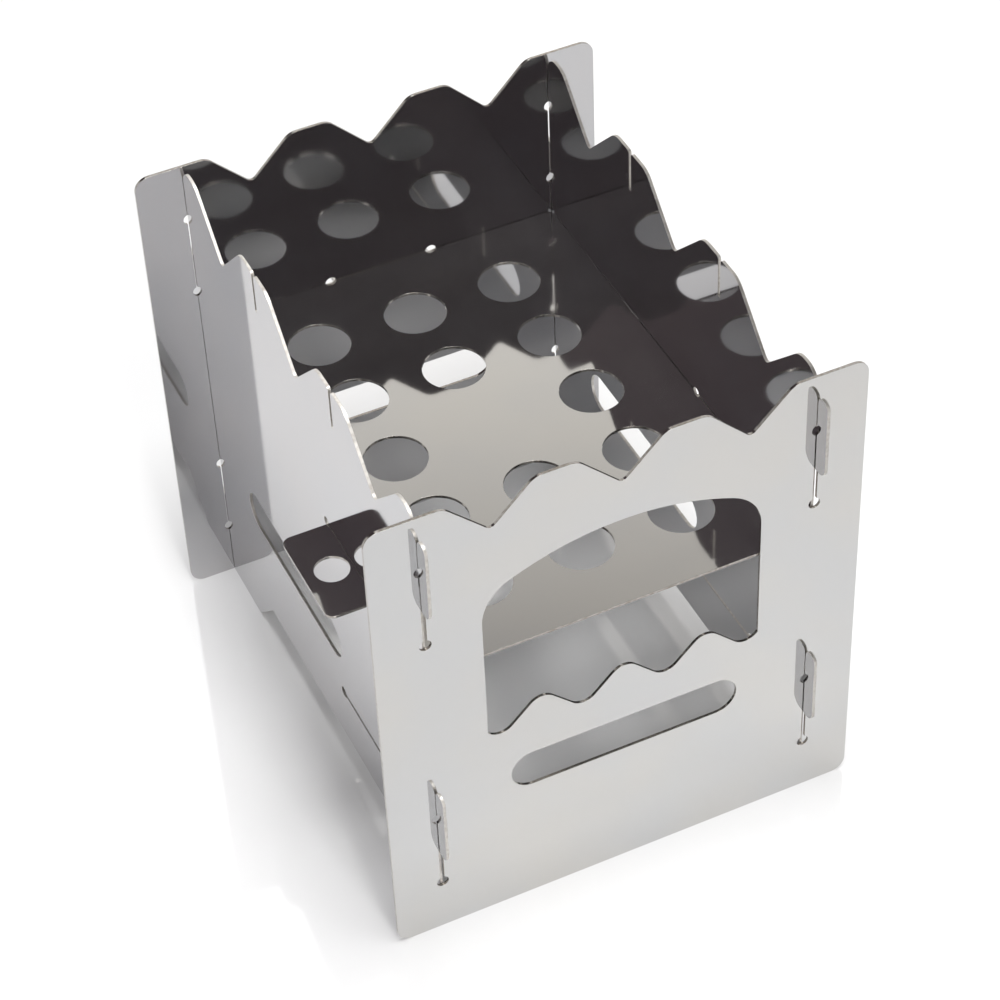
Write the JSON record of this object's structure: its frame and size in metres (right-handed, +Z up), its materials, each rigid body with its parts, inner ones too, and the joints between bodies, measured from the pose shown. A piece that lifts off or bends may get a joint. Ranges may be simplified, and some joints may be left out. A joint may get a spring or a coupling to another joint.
{
  "type": "hobo stove",
  "caption": "Flat-pack hobo stove: rectangular firebox of interlocking sheet steel walls with wavy tops, an arched stoking window and a perforated grate.",
  "frame": {"origin": "centre of the footprint on the ground", "axes": "+Z up, -Y towards the front panel with the window, +X towards the right side panel as seen from the front"},
  "size_m": [0.162, 0.1928, 0.18],
  "materials": {
    "wall_steel": "mirror-polished stainless steel sheet with bare laser-cut edges",
    "grate_steel": "polished stainless steel sheet with bare laser-cut edges"
  },
  "bodies": {
    "stove_body": {"back_panel": "wall_steel", "left_side_panel": "wall_steel", "right_side_panel": "wall_steel", "grate": "grate_steel"},
    "front_panel": {"front_panel": "wall_steel"}
  },
  "joints": [
    {"name": "front_lift", "type": "slide", "parent": "stove_body", "child": "front_panel", "axis": [0, 0, 1], "range_m": [0, 0.0164]}
  ]
}
